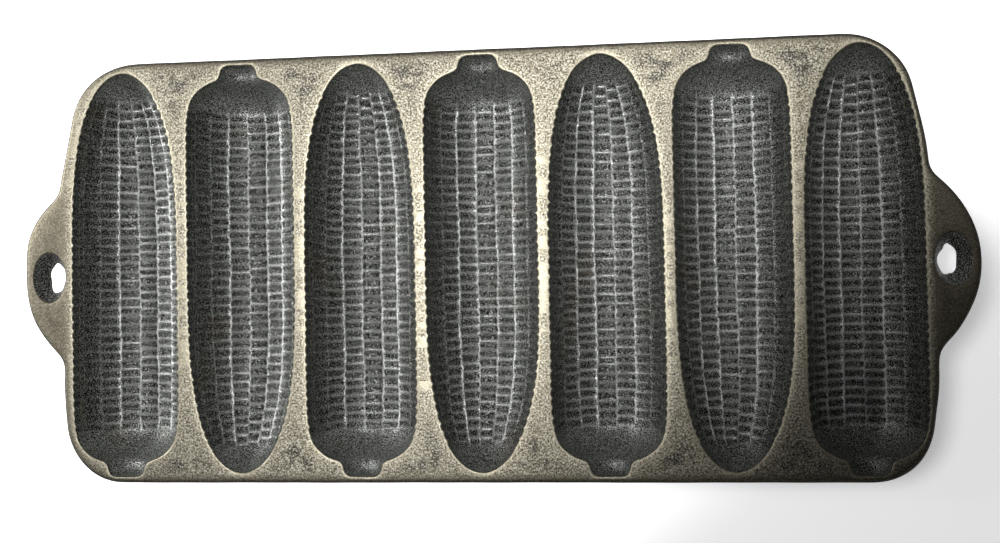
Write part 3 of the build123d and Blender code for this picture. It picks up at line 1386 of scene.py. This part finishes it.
@dataclass(frozen=True)
class Studio:
    """White paper under soft lamps, seen from straight above."""

    camera_place: tuple[float, float, float] = (36.448 * MM, -9.294 * MM, 318.865 * MM)
    camera_turn: tuple[float, float, float] = (1.13712, 5.42022, -1.09218)
    lens: float = 34.2
    lamps: tuple[Lamp, ...] = (
        Lamp("overhead", (-0.12, 0.055, 0.95), (-0.08, 0.105, 0.0), 0.05, 29.0, 0.5, 12.8),
        Lamp("window", (-1.00, 0.25, 0.60), (-0.33, 0.10, 0.0), 0.12, 30.0, 1.0, 40.0),
        Lamp("ceiling", (0.25, 0.30, 0.95), (0.08, 0.09, 0.0), 0.08, 15.0, 1.0, 6.5),
    )
    paper_lamp: Lamp = Lamp("paper_lamp", (-0.42, 0.12, 1.00), (0.0, 0.0, 0.0), 0.18, 150.0, 0.5, 22.0)
    paper_colour: str = "f2f2f4"
    paper_reach: float = 6.0
    paper_glow: float = 1.0
    # Painted shade on the paper: its glow falls to this level past the pan's lower right corner.
    shaded_glow: float = 0.4
    shade_slope: float = -1.2
    shade_span: tuple[float, float] = (0.10, 0.20)
    room_colour: str = "ffffff"
    room_span: tuple[float, float] = (0.02, 0.3)
    room_low: float = 0.13
    room_high: float = 0.03

    def camera(self, top: float) -> None:
        """Places the camera over the pan.

        Args:
            top: the height of the pan's top face.
        """
        data = bpy.data.cameras.new("camera")
        data.lens, data.sensor_width, data.clip_start = self.lens, 36.0, 0.01
        camera = bpy.data.objects.new("camera", data)
        camera.location = Vector(self.camera_place) + Vector((0, 0, top))
        camera.rotation_euler = [math.radians(angle) for angle in self.camera_turn]
        bpy.context.scene.collection.objects.link(camera)
        bpy.context.scene.camera = camera

    def paper(self) -> None:
        """Lays the white paper, which glows for the camera and in reflections, and takes the pan's shadow.

        Its glow falls off to a light grey past the pan's lower right corner, which paints shade there, and
        it has a lamp of its own that lights nothing else.
        """
        bpy.ops.object.select_all(action="DESELECT")
        bpy.ops.mesh.primitive_plane_add(size=self.paper_reach)
        sheet = bpy.context.object
        sheet.name = "paper"
        material = bpy.data.materials.new("white_paper")
        material.use_nodes = True
        tree = material.node_tree
        tree.nodes.clear()
        path = add_node(tree, "ShaderNodeLightPath").outputs
        seen = path["Is Camera Ray"]
        for ray in ("Is Glossy Ray", "Is Transmission Ray"):
            seen = add_node(tree, "ShaderNodeMath", {0: seen, 1: path[ray]}, operation="MAXIMUM").outputs[0]
        place = add_node(tree, "ShaderNodeTexCoord").outputs["Object"]
        axes = add_node(tree, "ShaderNodeSeparateXYZ", {0: place}).outputs
        # Painted shade: the glow is darkened along a slant towards the lower right.
        corner = add_node(tree, "ShaderNodeMath", {0: axes["Y"], 1: self.shade_slope, 2: axes["X"]},
                          operation="MULTIPLY_ADD").outputs[0]
        level = add_node(tree, "ShaderNodeMapRange", {
            "Value": corner, "From Min": self.shade_span[0], "From Max": self.shade_span[1],
            "To Min": self.paper_glow, "To Max": self.shaded_glow,
        }, interpolation_type="SMOOTHSTEP").outputs["Result"]
        glow = add_node(tree, "ShaderNodeMath", {0: seen, 1: level}, operation="MULTIPLY").outputs[0]
        shader = add_node(tree, "ShaderNodeBsdfPrincipled", {
            "Base Color": linear(self.paper_colour), "Roughness": 0.9, "Specular IOR Level": 0.1,
            "Emission Color": linear(self.room_colour), "Emission Strength": glow,
        })
        add_node(tree, "ShaderNodeOutputMaterial", {"Surface": shader.outputs["BSDF"]})
        sheet.data.materials.append(material)
        lit = bpy.data.collections.new("lit_paper")
        lit.objects.link(sheet)
        self.paper_lamp.hang().light_linking.receiver_collection = lit

    def light(self) -> None:
        """Hangs the lamps and sets the dim room round them."""
        for lamp in self.lamps:
            lamp.hang()
        world = bpy.data.worlds.new("room")
        bpy.context.scene.world = world
        world.use_nodes = True
        tree = world.node_tree
        tree.nodes.clear()
        place = add_node(tree, "ShaderNodeTexCoord").outputs["Generated"]
        height = add_node(tree, "ShaderNodeSeparateXYZ", {0: place}).outputs["Z"]
        level = add_node(tree, "ShaderNodeMapRange", {
            "Value": height, "From Min": self.room_span[0], "From Max": self.room_span[1],
            "To Min": self.room_low, "To Max": self.room_high,
        }, interpolation_type="SMOOTHSTEP").outputs["Result"]
        back = add_node(tree, "ShaderNodeBackground", {"Color": linear(self.room_colour), "Strength": level})
        add_node(tree, "ShaderNodeOutputWorld", {"Surface": back.outputs[0]})
        bpy.context.scene.view_settings.view_transform = "Standard"


def main() -> None:
    """Builds the studio and the pan, and reports each piece."""
    logging.basicConfig(level=logging.INFO, format="%(name)s: %(message)s")
    low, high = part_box("deck")
    count = sum(node.startswith("cob_cup_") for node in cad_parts)
    pitch = 2 * high.x / count
    studio = Studio()
    studio.camera(high.z)
    studio.paper()
    studio.light()
    cobs = [
        Cob(number, (number - (count + 1) / 2) * pitch, CobForm(), Kernels(seed=Seed.KERNELS + number))
        for number in range(1, count + 1)
    ]
    cup_iron = CastIron("seasoned_cast_iron").material()
    for cob in cobs:
        Cup(cob, top=high.z, seam=high.z - low.z, reach=high.y, pitch=pitch,
            half_length=high.x).build(cup_iron)
    plate = Plate(
        cobs, EarForm(reach=cad_box[1].x - high.x), top=high.z, thickness=high.z - low.z,
        half_length=high.x, half_depth=high.y,
    )
    plate.build(CastIron("worn_cast_iron_deck").material(), CastIron("worn_cast_iron_ear").material())


if __name__ == "__main__":
    main()
